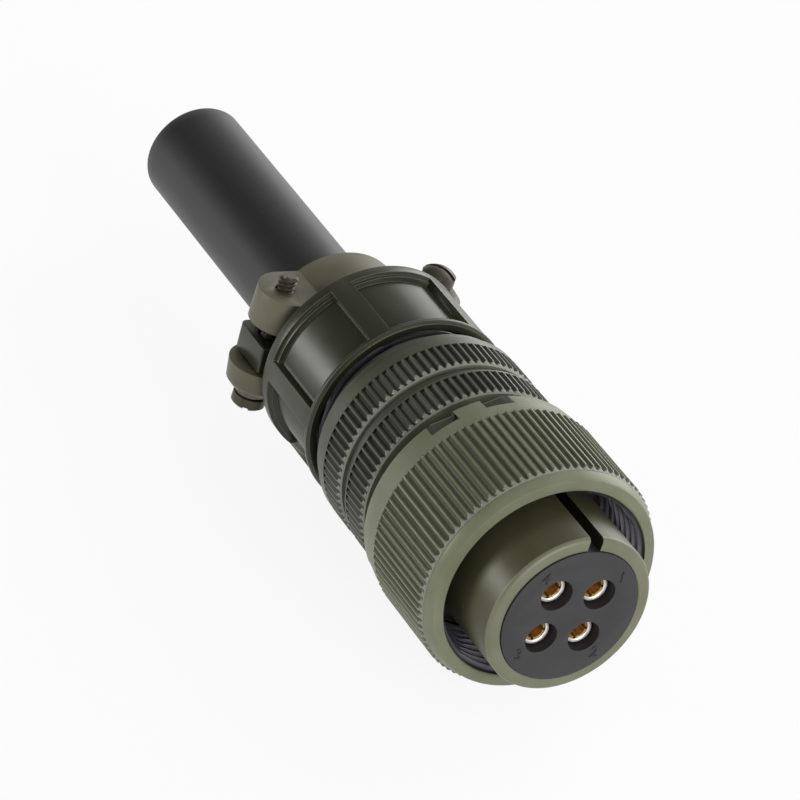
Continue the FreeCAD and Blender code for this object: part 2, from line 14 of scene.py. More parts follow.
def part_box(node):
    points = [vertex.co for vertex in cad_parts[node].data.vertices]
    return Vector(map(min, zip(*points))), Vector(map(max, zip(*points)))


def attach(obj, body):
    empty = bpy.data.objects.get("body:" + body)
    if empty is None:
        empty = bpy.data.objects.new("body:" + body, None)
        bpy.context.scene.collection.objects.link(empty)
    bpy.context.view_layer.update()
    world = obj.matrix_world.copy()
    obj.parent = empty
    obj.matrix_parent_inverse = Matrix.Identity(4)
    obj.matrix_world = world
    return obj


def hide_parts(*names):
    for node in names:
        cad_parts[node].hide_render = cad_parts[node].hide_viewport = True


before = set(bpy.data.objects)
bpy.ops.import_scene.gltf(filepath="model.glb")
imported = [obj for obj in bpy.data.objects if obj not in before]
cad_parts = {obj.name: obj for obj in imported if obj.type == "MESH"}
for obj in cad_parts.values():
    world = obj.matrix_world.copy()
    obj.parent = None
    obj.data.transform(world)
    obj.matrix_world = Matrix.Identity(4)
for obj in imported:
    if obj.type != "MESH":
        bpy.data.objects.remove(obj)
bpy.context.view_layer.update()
MM = 0.001


# Camera, daylight and floor. The plug lies on a white studio table among three large soft boxes,
# and a long lens looks down on it from the mating end. The camera is rolled, because the plug
# lies rolled about its axis in the picture.
CAMERA_PLACE = (349.136, -280.275, 277.565)
CAMERA_AZIMUTH = 54.76
CAMERA_ELEVATION = 29.68
CAMERA_ROLL = 15.9
CAMERA_LENS = 191.26
SENSOR_WIDTH = 36
NEAREST_SEEN = 0.01         # metres
TABLE_SIZE = 4.0
TABLE_COLOUR = "#f2f2f2"
BACKDROP_COLOUR = "#ffffff"
TABLE_WHITENESS = 0.90      # share of plain white in what is seen of the table, over its shadows
SOFT_BOXES = {              # place in metres, size in metres and watts
    "soft_box_right": ((-0.45, 0.85, 0.45), 0.80, 6.0),
    "soft_box_front": ((0.95, 0.05, 0.30), 0.70, 6.5),
    "soft_box_left": ((-0.40, -1.00, 0.08), 0.40, 6.0),
}
AIMED_AT = (-0.05, 0, 0)    # the middle of the plug
BRIGHT_SIDE = (0.45, 0.82, 0.35)
DAYLIGHT = 0.75
DARKEST = 0.12
ROOM_FADE = (-0.35, 0.75)   # cosines off the bright side where the room is darkest and brightest
BACKDROP_FADE = (0.25, 0.7)  # cosines off the line of sight, between which gloss comes to see white


def linear(hex_colour):
    """sRGB hex colour as linear RGBA."""
    values = [int(hex_colour[i:i + 2], 16) / 255 for i in (1, 3, 5)]
    return [v / 12.92 if v <= 0.04045 else ((v + 0.055) / 1.055) ** 2.4 for v in values] + [1.0]


def add_node(tree, kind, sockets=None, **settings):
    """Add a node, set its settings, and set or link its input sockets by name or number."""
    node = tree.nodes.new(kind)
    for key, value in settings.items():
        setattr(node, key, value)
    for key, value in (sockets or {}).items():
        if isinstance(value, bpy.types.NodeSocket):
            tree.links.new(value, node.inputs[key])
        else:
            node.inputs[key].default_value = value
    return node


def seen_directly(tree, share=1.0):
    """1 for rays from the camera and through glass, a share for glossy ones, 0 for light on the plug."""
    path = add_node(tree, "ShaderNodeLightPath")
    gloss = add_node(tree, "ShaderNodeMath", {0: path.outputs["Is Glossy Ray"], 1: share},
                     operation="MULTIPLY")
    direct = add_node(tree, "ShaderNodeMath", {0: path.outputs["Is Camera Ray"], 1: gloss.outputs[0]},
                      operation="MAXIMUM")
    return add_node(tree, "ShaderNodeMath", {0: direct.outputs[0], 1: path.outputs["Is Transmission Ray"]},
                    operation="MAXIMUM").outputs[0]


def deselect():
    """Nothing selected, ready for a new primitive."""
    if bpy.context.mode != "OBJECT":
        bpy.ops.object.mode_set(mode="OBJECT")
    bpy.ops.object.select_all(action="DESELECT")


bpy.ops.object.camera_add(location=[v * MM for v in CAMERA_PLACE])
camera = bpy.context.object
turn = Matrix.Rotation(math.radians(CAMERA_AZIMUTH), 4, "Z")
tilt = Matrix.Rotation(math.radians(90 - CAMERA_ELEVATION), 4, "X")
roll = Matrix.Rotation(math.radians(CAMERA_ROLL), 4, "Z")
camera.matrix_world = Matrix.Translation(camera.location) @ turn @ tilt @ roll
camera.data.lens = CAMERA_LENS
camera.data.sensor_width = SENSOR_WIDTH
camera.data.clip_start = NEAREST_SEEN
bpy.context.scene.camera = camera
bpy.context.scene.view_settings.view_transform = "Standard"

for name, (place, size, watts) in SOFT_BOXES.items():
    bpy.ops.object.light_add(type="AREA", location=place)
    lamp = bpy.context.object
    lamp.name = name
    lamp.data.size = size
    lamp.data.energy = watts
    lamp.rotation_euler = (-Vector(place) + Vector(AIMED_AT)).to_track_quat("-Z", "Y").to_euler()

# The light on the plug comes from a room that is pale on one side and dark behind and to the left.
# The camera sees a white backdrop there, and so does gloss that looks away from the camera.
world = bpy.data.worlds.new("studio")
bpy.context.scene.world = world
world.use_nodes = True
tree = world.node_tree
tree.nodes.clear()
direction = add_node(tree, "ShaderNodeTexCoord").outputs["Generated"]
facing = add_node(tree, "ShaderNodeVectorMath", {0: direction, 1: Vector(BRIGHT_SIDE).normalized()},
                  operation="DOT_PRODUCT")
room = add_node(tree, "ShaderNodeMapRange", {"Value": facing.outputs["Value"],
                                             "From Min": ROOM_FADE[0], "From Max": ROOM_FADE[1],
                                             "To Min": DARKEST, "To Max": DAYLIGHT})
line_of_sight = (turn @ tilt).to_3x3() @ Vector((0, 0, -1))
away = add_node(tree, "ShaderNodeVectorMath", {0: direction, 1: line_of_sight}, operation="DOT_PRODUCT")
backdrop = add_node(tree, "ShaderNodeMapRange", {"Value": away.outputs["Value"],
                                                 "From Min": BACKDROP_FADE[0], "From Max": BACKDROP_FADE[1]})
seen = seen_directly(tree, backdrop.outputs[0])
strength = add_node(tree, "ShaderNodeMix", {0: seen, 2: room.outputs[0], 3: 1.0})
sky = add_node(tree, "ShaderNodeBackground",
               {"Color": linear(BACKDROP_COLOUR), "Strength": strength.outputs[0]})
add_node(tree, "ShaderNodeOutputWorld", {"Surface": sky.outputs[0]})

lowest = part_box("coupling_nut")[0].z
deselect()
bpy.ops.mesh.primitive_plane_add(size=TABLE_SIZE, location=(0, 0, lowest))
table = bpy.context.object
table.name = "table"
bpy.ops.object.transform_apply(location=True)
paper = bpy.data.materials.new("table_paper")
paper.use_nodes = True
tree = paper.node_tree
tree.nodes.clear()
matt = add_node(tree, "ShaderNodeBsdfDiffuse", {"Color": linear(TABLE_COLOUR)})
glow = add_node(tree, "ShaderNodeEmission", {"Color": linear(BACKDROP_COLOUR), "Strength": 1.0})
white = add_node(tree, "ShaderNodeMath", {0: seen_directly(tree), 1: TABLE_WHITENESS}, operation="MULTIPLY")
both = add_node(tree, "ShaderNodeMixShader", {0: white.outputs[0], 1: matt.outputs[0], 2: glow.outputs[0]})
add_node(tree, "ShaderNodeOutputMaterial", {"Surface": both.outputs[0]})
table.data.materials.append(paper)


# Coupling nut. The real one is turned from aluminium bar, milled with straight flutes for grip,
# threaded inside and plated olive drab. It turns freely on the shell and pulls the plug home.
# Lock-wire tabs are left standing where flats are milled on its rear collar.
NUT_FLUTES = 90
NUT_FLUTE_DEPTH = 0.42
NUT_FLUTE_REAR = -21.4
NUT_LIP_LENGTH = 1.65
NUT_LIP_DROP = 0.45         # from the crests down to the plain lip
NUT_LIP_STEP = 0.05         # from the lip down to the low end of the crests' bevel
NUT_FACE_DROP = 0.9
NUT_BEVEL_LENGTH = 0.65
NUT_THREAD_R = 13.5
NUT_THREAD_ROOT = 14.3
NUT_THREAD_PITCH = 1.411    # 18 threads to the inch
NUT_THREAD_LENGTH = 10.7
NUT_MOUTH_R = 14.2
NUT_MOUTH_LENGTH = 0.5
NUT_THREAD_ROWS = 84
LINER_INSET = 0.05          # of the threaded liner from the shoulder behind it
LINER_WALL = 0.2            # behind its thread
LINER_MOUTH_LENGTH = 1.0
LINER_STEPS = 120
COLLAR_DROP = 0.15
COLLAR_CONE_DROP = 0.2      # from the collar down to the front of its cone
COLLAR_REAR_DROP = 0.65
SHELL_JOURNAL_R = 12.0
RUNNING_GAP = 0.06
TAB_COUNT = 3
TAB_TURN = -21.5
TAB_WIDTH = 3.7
TAB_LENGTH = 2.1
TAB_HEIGHT = 0.9
FLAT_REACH = 0.5            # radians from a tab's middle within which its flats end
WIRE_HOLE_R = 0.4
WIRE_HOLE_STEPS = 20
EDGE = 0.12                 # small broken edge on turned corners
STEP = 0.01                 # a hair's breadth between two rows where a surface steps straight down
FLUTE_END = STEP / 2        # a flute starts halfway along such a step
ROW_GAP = 0.1               # between a bevel or shoulder and the next row
FLUTE_ZONE = 1.0            # deeper than any flute, and shallower than any wall
FACES_FRONT = 0.3           # a face whose normal has more X than this looks along the axis
FLUTE_COLUMNS = ((0.0, 0.0), (0.18, 0.0), (0.38, 0.78), (0.59, 1.0), (0.80, 0.78))


def box_mm(name):
    """Lowest x, highest x and largest radius of a node, in millimetres."""
    low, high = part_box(name)
    return low.x / MM, high.x / MM, max(abs(low.z), abs(high.z), abs(low.y), abs(high.y)) / MM


def turned(name, outline, steps):
    """Draw a closed outline of (x, radius) in millimetres, vertex by vertex, and spin it about X."""
    deselect()
    bpy.ops.mesh.primitive_plane_add(size=MM)
    piece = bpy.context.object
    piece.name = name
    bpy.context.tool_settings.mesh_select_mode = (True, False, False)
    bpy.ops.object.mode_set(mode="EDIT")
    bpy.ops.mesh.select_all(action="SELECT")
    bpy.ops.mesh.merge(type="CENTER")
    x, r = outline[0]
    bpy.ops.transform.translate(value=(x * MM, 0, r * MM))
    for next_x, next_r in outline[1:] + outline[:1]:
        bpy.ops.mesh.extrude_region_move(
            TRANSFORM_OT_translate={"value": ((next_x - x) * MM, 0, (next_r - r) * MM)})
        x, r = next_x, next_r
    bpy.ops.mesh.select_all(action="SELECT")
    bpy.ops.mesh.remove_doubles(threshold=1e-7)
    bpy.ops.mesh.spin(steps=steps, angle=2 * math.pi, center=(0, 0, 0), axis=(1, 0, 0))
    bpy.ops.mesh.select_all(action="SELECT")
    bpy.ops.mesh.remove_doubles(threshold=1e-7)
    bpy.ops.mesh.normals_make_consistent(inside=False)
    bpy.ops.object.mode_set(mode="OBJECT")
    return piece


def polar_shape(piece, shape):
    """Move every vertex by a function of (x, angle, radius) in millimetres, angle from +Z towards +Y."""
    mesh = piece.data
    co = np.empty(len(mesh.vertices) * 3)
    mesh.vertices.foreach_get("co", co)
    x, y, z = co.reshape(-1, 3).T / MM
    x, angle, r = shape(x, np.arctan2(y, z), np.hypot(y, z))
    mesh.vertices.foreach_set("co", (np.stack([x, r * np.sin(angle), r * np.cos(angle)], 1) * MM).ravel())
    mesh.update()


def flute_columns(angle, count):
    """Columns of a fluted piece moved to their places in each flute, with the depth share of each."""
    columns = len(FLUTE_COLUMNS)
    index = np.rint(angle / (2 * np.pi) * count * columns).astype(int) % (count * columns)
    places = np.array([place for place, _ in FLUTE_COLUMNS])[index % columns]
    shares = np.array([share for _, share in FLUTE_COLUMNS])[index % columns]
    return (index // columns + places) * 2 * np.pi / count, shares


def fluted(x, angle, r, count, crest, depth, rear, front, bevel_r, bevel_length):
    """Flutes cut between two stations, with the front corner of the crests bevelled."""
    angle, share = flute_columns(angle, count)
    slope = (crest - bevel_r) / bevel_length
    cone = bevel_r + slope * (front - x)
    cut = np.minimum(crest - depth * share, cone)
    inside = (x > rear + FLUTE_END) & (x < front) & (r > crest - FLUTE_ZONE)
    return x, angle, np.where(inside, np.minimum(r, cut), r)


def thread_wave(x, angle, pitch):
    """0 at the root and 1 at the crest of a right-hand thread about X, with flats on both."""
    turn = (x / pitch + angle / (2 * np.pi)) % 1
    return np.clip(3.0 * np.abs(turn - 0.5) - 0.25, 0, 1)


def stations(x0, x1, count):
    """Evenly spaced places from x0 to x1, both included."""
    return [x0 + (x1 - x0) * i / count for i in range(count + 1)]


def finish_mesh(piece, material, body, degrees=32):
    """Smooth shading, material, slot and body of a finished piece."""
    for polygon in piece.data.polygons:
        polygon.use_smooth = True
    deselect()
    piece.select_set(True)
    bpy.context.view_layer.objects.active = piece
    bpy.ops.object.shade_smooth_by_angle(angle=math.radians(degrees))
    if piece.data.materials:
        piece.data.materials[0] = material
    else:
        piece.data.materials.append(material)
    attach(piece, body)


def joined(pieces, name):
    """Several meshes joined into one object."""
    deselect()
    for piece in pieces:
        piece.select_set(True)
    bpy.context.view_layer.objects.active = pieces[0]
    bpy.ops.object.join()
    pieces[0].name = name
    return pieces[0]


def cut_with(piece, cutter):
    """Cut a piece with another mesh, and remove the cutter."""
    deselect()
    bpy.context.view_layer.objects.active = piece
    modifier = piece.modifiers.new("cut", "BOOLEAN")
    modifier.object = cutter
    modifier.operation = "DIFFERENCE"
    modifier.solver = "EXACT"
    bpy.ops.object.modifier_apply(modifier=modifier.name)
    bpy.data.objects.remove(cutter)


def placed(piece, location=(0, 0, 0), rotation=(0, 0, 0)):
    """Turn and move a piece, in degrees and millimetres, and write its place into its mesh."""
    deselect()
    piece.select_set(True)
    bpy.context.view_layer.objects.active = piece
    piece.rotation_euler = [math.radians(v) for v in rotation]
    piece.location = [v * MM for v in location]
    bpy.ops.object.transform_apply(location=True, rotation=True, scale=True)
    return piece


def around(piece, degrees):
    """Turn a piece about the plug's axis, from +Z towards +Y."""
    return placed(piece, rotation=(-degrees, 0, 0))


def plating(name, colour, valley, worn, flutes=None, roughness=0.4, metallic=0.15):
    """Olive-drab chromate over cadmium: a satin coat, a little blotchy.

    Flutes are given as their rear and front ends and their valley and crest radii. Between them the
    colour is painted darker towards the valley floors, as painted shade in the flutes.
    """
    material = bpy.data.materials.new(name)
    material.use_nodes = True
    tree = material.node_tree
    tree.nodes.clear()
    place = add_node(tree, "ShaderNodeTexCoord").outputs["Object"]
    blotches = add_node(tree, "ShaderNodeTexNoise", {"Vector": place, "Scale": 1 / (5 * MM), "Detail": 4.0})
    blend = add_node(tree, "ShaderNodeMapRange", {"Value": blotches.outputs[0],
                                                  "From Min": 0.35, "From Max": 0.68})
    shade = add_node(tree, "ShaderNodeMix", {0: blend.outputs[0], 6: linear(colour), 7: linear(worn)},
                     data_type="RGBA").outputs[2]
    if flutes:
        rear, front, valley_r, crest_r = [v * MM for v in flutes]
        across = add_node(tree, "ShaderNodeVectorMath", {0: place, 1: (0, 1, 1)}, operation="MULTIPLY")
        radius = add_node(tree, "ShaderNodeVectorMath", {0: across.outputs[0]}, operation="LENGTH")
        flank = crest_r - valley_r
        depth = add_node(tree, "ShaderNodeMapRange", {"Value": radius.outputs["Value"],
                                                      "From Min": crest_r - 0.1 * flank,
                                                      "From Max": crest_r - 0.75 * flank})
        along = add_node(tree, "ShaderNodeSeparateXYZ", {0: place})
        behind = add_node(tree, "ShaderNodeMath", {0: along.outputs[0], 1: front}, operation="LESS_THAN")
        before = add_node(tree, "ShaderNodeMath", {0: along.outputs[0], 1: rear}, operation="GREATER_THAN")
        inside = add_node(tree, "ShaderNodeMath", {0: behind.outputs[0], 1: before.outputs[0]},
                          operation="MULTIPLY")
        # Painted shade: the colour darkens towards the valley floors, for the shade that falls in the flutes.
        painted_valley_shade = add_node(tree, "ShaderNodeMath", {0: inside.outputs[0], 1: depth.outputs[0]},
                        operation="MULTIPLY")
        shade = add_node(tree, "ShaderNodeMix", {0: painted_valley_shade.outputs[0], 6: shade, 7: linear(valley)},
                         data_type="RGBA").outputs[2]
    grain = add_node(tree, "ShaderNodeTexNoise", {"Vector": place, "Scale": 1 / (0.25 * MM), "Detail": 2.0})
    bump = add_node(tree, "ShaderNodeBump", {"Height": grain.outputs[0], "Strength": 0.12,
                                             "Distance": 0.03 * MM})
    gloss = add_node(tree, "ShaderNodeMapRange", {"Value": blotches.outputs[0],
                                                  "To Min": roughness - 0.06, "To Max": roughness + 0.08})
    shader = add_node(tree, "ShaderNodeBsdfPrincipled",
                      {"Base Color": shade, "Roughness": gloss.outputs[0], "Metallic": metallic,
                       "Normal": bump.outputs[0]})
    add_node(tree, "ShaderNodeOutputMaterial", {"Surface": shader.outputs[0]})
    return material


nut_rear, nut_front, nut_crest = box_mm("coupling_nut")
lip_r = nut_crest - NUT_LIP_DROP
face_r = nut_crest - NUT_FACE_DROP
lip_rear = nut_front - NUT_LIP_LENGTH
bevel_rear = lip_rear - NUT_BEVEL_LENGTH
collar_r = nut_crest - COLLAR_DROP
cone_r = collar_r - COLLAR_CONE_DROP
collar_rear_r = nut_crest - COLLAR_REAR_DROP
tab_flat_r = collar_rear_r - TAB_HEIGHT
tab_front = nut_rear + TAB_LENGTH
thread_rear = nut_front - NUT_THREAD_LENGTH
nut_bore = SHELL_JOURNAL_R + RUNNING_GAP
nut_outline = (
    [(nut_front, NUT_MOUTH_R + EDGE), (nut_front, face_r - EDGE), (nut_front - EDGE, face_r),
     (lip_rear + EDGE, lip_r), (lip_rear, lip_r - EDGE / 2)]
    + [(x, nut_crest) for x in stations(lip_rear - STEP, bevel_rear, 6)]
    + [(x, nut_crest) for x in stations(bevel_rear - ROW_GAP, NUT_FLUTE_REAR + STEP, 10)]
    + [(NUT_FLUTE_REAR, collar_r), (tab_front + 2 * STEP, cone_r), (tab_front, cone_r),
       (nut_rear + EDGE, collar_rear_r), (nut_rear, collar_rear_r - EDGE), (nut_rear, nut_bore),
       (thread_rear, nut_bore), (thread_rear, NUT_THREAD_ROOT),
       (nut_front - NUT_MOUTH_LENGTH, NUT_THREAD_ROOT)])


def nut_shape(x, angle, r):
    """Flutes and bevel on the nut, and flats beside its lock-wire tabs."""
    x, angle, r = fluted(x, angle, r, NUT_FLUTES, nut_crest, NUT_FLUTE_DEPTH, NUT_FLUTE_REAR, lip_rear,
                         lip_r - NUT_LIP_STEP, NUT_BEVEL_LENGTH)
    for i in range(TAB_COUNT):
        middle = math.radians(TAB_TURN + i * 360 / TAB_COUNT)
        away = (angle - middle + np.pi) % (2 * np.pi) - np.pi
        beside = (np.abs(away) * tab_flat_r > TAB_WIDTH / 2) & (np.abs(away) < FLAT_REACH)
        beside &= x < tab_front + STEP
        flat = tab_flat_r / np.cos(np.clip(away, -FLAT_REACH, FLAT_REACH))
        r = np.where(beside & (r > tab_flat_r), np.minimum(r, flat), r)
    return x, angle, r


nut = turned("nut_skin", nut_outline, NUT_FLUTES * len(FLUTE_COLUMNS))
polar_shape(nut, nut_shape)
wires = []
for i in range(TAB_COUNT):
    deselect()
    bpy.ops.mesh.primitive_cylinder_add(vertices=WIRE_HOLE_STEPS, radius=WIRE_HOLE_R * MM,
                                        depth=2 * TAB_WIDTH * MM)
    middle_r = (tab_flat_r + collar_rear_r) / 2
    wire = placed(bpy.context.object, (nut_rear + TAB_LENGTH / 2, 0, middle_r), (90, 0, 0))
    wires.append(around(wire, TAB_TURN + i * 360 / TAB_COUNT))
cut_with(nut, joined(wires, "wire_holes"))

liner_rear, liner_front = thread_rear + LINER_INSET, nut_front - 2 * STEP
liner_outline = (
    [(x, NUT_THREAD_R) for x in stations(liner_rear, liner_front, NUT_THREAD_ROWS)]
    + [(liner_front, NUT_MOUTH_R + EDGE), (nut_front - LINER_MOUTH_LENGTH, NUT_THREAD_ROOT + LINER_WALL),
       (liner_rear, NUT_THREAD_ROOT + LINER_WALL)])
liner = turned("nut_thread", liner_outline, LINER_STEPS)


def nut_thread_shape(x, angle, r):
    """Coupling thread inside the nut, opening into a chamfered mouth."""
    groove = NUT_THREAD_ROOT - (NUT_THREAD_ROOT - NUT_THREAD_R) * thread_wave(x, angle, NUT_THREAD_PITCH)
    mouth = NUT_MOUTH_R - (nut_front - x)
    return x, angle, np.where(r < NUT_THREAD_R + STEP, np.maximum(groove, mouth), r)


polar_shape(liner, nut_thread_shape)
nut = joined([nut, liner], "coupling_nut_dressed")
# Painted shade: the second colour darkens the flute valleys.
nut_plating = plating("olive_nut_plating", "#6d7057", "#4c4f3a", "#777a62",
                      (NUT_FLUTE_REAR, lip_rear, nut_crest - NUT_FLUTE_DEPTH, nut_crest))
# Painted shade: the thread's roots are coloured near-black, for the shade between its ridges.
thread_plating = plating("bright_thread_plating", "#86838d", "#1a1a18", "#96939e",
                         (thread_rear, nut_front, NUT_THREAD_ROOT, NUT_THREAD_R), roughness=0.3, metallic=0.7)
# Painted highlight: a paler coat on faces that look towards the front light.
front_edge_highlight = plating("front_edge_highlight_plating", "#7f8175", "#505139", "#898b7f", roughness=0.42)
# Painted shade: the milled flats beside the tabs are coloured dark, as if in shadow.
flat_shade_plating = plating("painted_shade_flat_plating", "#34362a", "#34362a", "#3c3e32", roughness=0.45)
finish_mesh(nut, nut_plating, "nut")
for material in (thread_plating, front_edge_highlight, flat_shade_plating):
    nut.data.materials.append(material)
for polygon in nut.data.polygons:
    centre = polygon.center / MM
    radius = math.hypot(centre.y, centre.z)
    on_bevel = bevel_rear < centre.x < lip_rear and polygon.normal.x > FACES_FRONT
    on_flat = tab_flat_r - 0.05 < radius < (cone_r + collar_rear_r) / 2 - 0.05
    if thread_rear < centre.x < nut_front - 0.1 and radius < NUT_THREAD_ROOT + STEP:
        polygon.material_index = 1
    # Painted highlight on the front-facing bevel and on the walls where the flutes end.
    elif abs(centre.x - NUT_FLUTE_REAR) < 2 * STEP or on_bevel:
        polygon.material_index = 2
    # Painted shade on the milled flats.
    elif nut_rear + EDGE < centre.x < tab_front - EDGE and on_flat:
        polygon.material_index = 3
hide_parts("coupling_nut")


# Front shell. It is turned from aluminium bar: a smooth keyed barrel that enters the mating half,
# the journal that the nut runs on, and a fluted band that a strap wrench can hold.
BARREL_R = 11.5
BARREL_EDGE = 0.55
BARREL_BORE = 9.72
INSERT_SEAT = -18.0
KEYWAY_WIDTH = 1.9
KEYWAY_LENGTH = 14.0
KEYWAY_TURN = 3.5
KEY_SPARE = 2.0             # of the keyway's cutter in front of the barrel
KEY_HEIGHT = 4.0
KEY_DIP = 0.2               # of the cutter below the bore's surface
JOURNAL_FRONT = -16.1
BAND_FLUTES = 83
BAND_FLUTE_DEPTH = 0.36
BAND_EDGE_DROP = 0.5
BAND_BEVEL_LENGTH = 0.6
BAND_RIM_DROP = 0.06
BAND_FRONT = -27.7
BAND_REAR = -32.7
FRONT_RIM_LENGTH = 0.4
SHELL_JOINT = -34.35
GROOVE_DROP = 0.9
HIDDEN_BORE_R = 10.6

band_r = box_mm("front_shell")[2]


def band_rows(rear, front):
    """Rows of a fluted band: close together over the bevel and at the rear end."""
    bevel_rear = front - BAND_BEVEL_LENGTH
    return ([(x, band_r) for x in stations(front, bevel_rear, 6)]
            + [(x, band_r) for x in stations(bevel_rear - ROW_GAP, rear + STEP, 5)])


def on_front_edge(polygon, front):
    """True on the bevel and face at the front of a fluted band, which get a painted highlight for the light
    from the front.
    """
    x = polygon.center.x / MM
    return front - BAND_BEVEL_LENGTH < x < front + 2 * STEP and polygon.normal.x > FACES_FRONT


def cube(name, x0, x1, y0, y1, z0, z1):
    """Cube primitive stretched between two corners, in millimetres."""
    deselect()
    bpy.ops.mesh.primitive_cube_add(size=1)
    piece = bpy.context.object
    piece.name = name
    piece.scale = ((x1 - x0) * MM, (y1 - y0) * MM, (z1 - z0) * MM)
    return placed(piece, ((x0 + x1) / 2, (y0 + y1) / 2, (z0 + z1) / 2))


front_rim = BAND_REAR + FRONT_RIM_LENGTH
shell_outline = (
    [(0, BARREL_BORE), (0, BARREL_R - BARREL_EDGE), (-BARREL_EDGE * 0.15, BARREL_R - BARREL_EDGE * 0.6),
     (-BARREL_EDGE * 0.5, BARREL_R - BARREL_EDGE * 0.2), (-BARREL_EDGE, BARREL_R), (JOURNAL_FRONT, BARREL_R),
     (JOURNAL_FRONT, SHELL_JOURNAL_R), (BAND_FRONT, SHELL_JOURNAL_R),
     (BAND_FRONT + STEP, band_r - BAND_EDGE_DROP)]
    + band_rows(front_rim, BAND_FRONT)
    + [(front_rim, band_r - BAND_RIM_DROP), (BAND_REAR + EDGE, band_r - BAND_RIM_DROP),
       (BAND_REAR, band_r - BAND_RIM_DROP - EDGE), (BAND_REAR, band_r - GROOVE_DROP),
       (SHELL_JOINT + 2 * STEP, band_r - GROOVE_DROP), (SHELL_JOINT + 2 * STEP, HIDDEN_BORE_R),
       (INSERT_SEAT, HIDDEN_BORE_R), (INSERT_SEAT, BARREL_BORE)])
shell = turned("front_shell_dressed", shell_outline, BAND_FLUTES * len(FLUTE_COLUMNS))
polar_shape(shell, lambda x, angle, r: fluted(x, angle, r, BAND_FLUTES, band_r, BAND_FLUTE_DEPTH,
                                             front_rim, BAND_FRONT + FLUTE_END,
                                             band_r - BAND_EDGE_DROP, BAND_BEVEL_LENGTH))
key_floor = BARREL_BORE - KEY_DIP
key = cube("key", -KEYWAY_LENGTH, KEY_SPARE, -KEYWAY_WIDTH / 2, KEYWAY_WIDTH / 2,
           key_floor, key_floor + KEY_HEIGHT)
cut_with(shell, around(key, KEYWAY_TURN))
band_valley_r = band_r - BAND_FLUTE_DEPTH
# Painted shade: the second colour darkens the band's flute valleys.
shell_plating = plating("olive_shell_plating", "#45473a", "#1d1e17", "#4e5040",
                        (front_rim, BAND_FRONT, band_valley_r, band_r), roughness=0.36)
barrel_plating = plating("olive_barrel_plating", "#434229", "#34362a", "#4a4932", roughness=0.40)
# Painted highlight: a paler coat on the barrel's front face, for the light from the front.
face_highlight_plating = plating("painted_highlight_rim_plating", "#696a53", "#34362a", "#71725d", roughness=0.42)
# Painted shade: the keyway's walls are coloured near-black, for the shade in the slot.
keyway_shade_plating = plating("painted_shade_keyway_plating", "#1f1f18", "#1f1f18", "#26261d", roughness=0.5)
finish_mesh(shell, shell_plating, "plug_body")
for material in (barrel_plating, keyway_shade_plating, front_edge_highlight, face_highlight_plating):
    shell.data.materials.append(material)
key_side = Vector((0, math.cos(math.radians(KEYWAY_TURN)), -math.sin(math.radians(KEYWAY_TURN))))
for polygon in shell.data.polygons:
    # Painted highlight on the band's front bevel.
    if on_front_edge(polygon, BAND_FRONT):
        polygon.material_index = 3
    if polygon.center.x > JOURNAL_FRONT * MM:
        across = abs(polygon.center.dot(key_side)) / MM
        in_key = (polygon.center.z > 0 and across < KEYWAY_WIDTH / 2 + 2 * STEP
                  and abs(polygon.normal.dot(key_side)) > 0.9)
        on_rim = polygon.center.x > -BARREL_EDGE * MM and polygon.normal.x > FACES_FRONT
        polygon.material_index = 2 if in_key else 4 if on_rim else 1
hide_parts("front_shell")


# Back shell. A second turned piece screws on behind the first: its fluted band, a plain boss and
# a threaded tail, of which a few turns show in front of the clamp ring.
REAR_BAND_REAR = -40.5
REAR_RIM_LENGTH = 1.6
TAIL_BOSS_DROP = 0.65
TAIL_BOSS_LENGTH = 1.6
TAIL_R = 12.7
TAIL_THREAD_DEPTH = 0.45
TAIL_THREAD_PITCH = 1.27    # 20 threads to the inch
TAIL_THREAD_ROWS = 60
TAIL_REAR = -52.8
TAIL_CHAMFER = 0.8
BOSS_NECK_DROP = 0.3        # small turned neck between the band and the boss
BOSS_NECK_LENGTH = 0.25
JOINT_GAP = 0.05            # between the two shells
JOINT_BORE_R = 12.5
JOINT_BORE_DEPTH = 2.0
BACK_CAVITY_R = 10.9

back_face = SHELL_JOINT - JOINT_GAP
boss_rear = REAR_BAND_REAR - TAIL_BOSS_LENGTH
rear_rim = REAR_BAND_REAR + REAR_RIM_LENGTH
boss_r = band_r - TAIL_BOSS_DROP
neck_rear = REAR_BAND_REAR - BOSS_NECK_LENGTH
back_outline = (
    [(back_face + JOINT_BORE_DEPTH, BACK_CAVITY_R), (back_face + JOINT_BORE_DEPTH, JOINT_BORE_R),
     (back_face + STEP, JOINT_BORE_R), (back_face + STEP, band_r - BAND_EDGE_DROP)]
    + band_rows(rear_rim, back_face)
    + [(rear_rim, band_r - BAND_RIM_DROP), (REAR_BAND_REAR + EDGE, band_r - BAND_RIM_DROP),
       (REAR_BAND_REAR, band_r - BAND_RIM_DROP - EDGE), (REAR_BAND_REAR, boss_r - BOSS_NECK_DROP),
       (neck_rear, boss_r - BOSS_NECK_DROP), (neck_rear - ROW_GAP, boss_r),
       (boss_rear + EDGE, boss_r), (boss_rear, boss_r - EDGE), (boss_rear, TAIL_R)]
    + [(x, TAIL_R) for x in stations(boss_rear - ROW_GAP, TAIL_REAR + TAIL_CHAMFER, TAIL_THREAD_ROWS)]
    + [(TAIL_REAR, TAIL_R - TAIL_CHAMFER), (TAIL_REAR, BACK_CAVITY_R)])


def back_shape(x, angle, r):
    """Flutes on the rear band and the thread of the tail."""
    x, angle, r = fluted(x, angle, r, BAND_FLUTES, band_r, BAND_FLUTE_DEPTH, rear_rim, back_face + FLUTE_END,
                         band_r - BAND_EDGE_DROP, BAND_BEVEL_LENGTH)
    on_tail = (x < boss_rear - 0.05) & (x > TAIL_REAR + TAIL_CHAMFER / 2) & (r > TAIL_R - STEP)
    groove = TAIL_R - TAIL_THREAD_DEPTH * (1 - thread_wave(x, angle, TAIL_THREAD_PITCH))
    return x, angle, np.where(on_tail, groove, r)


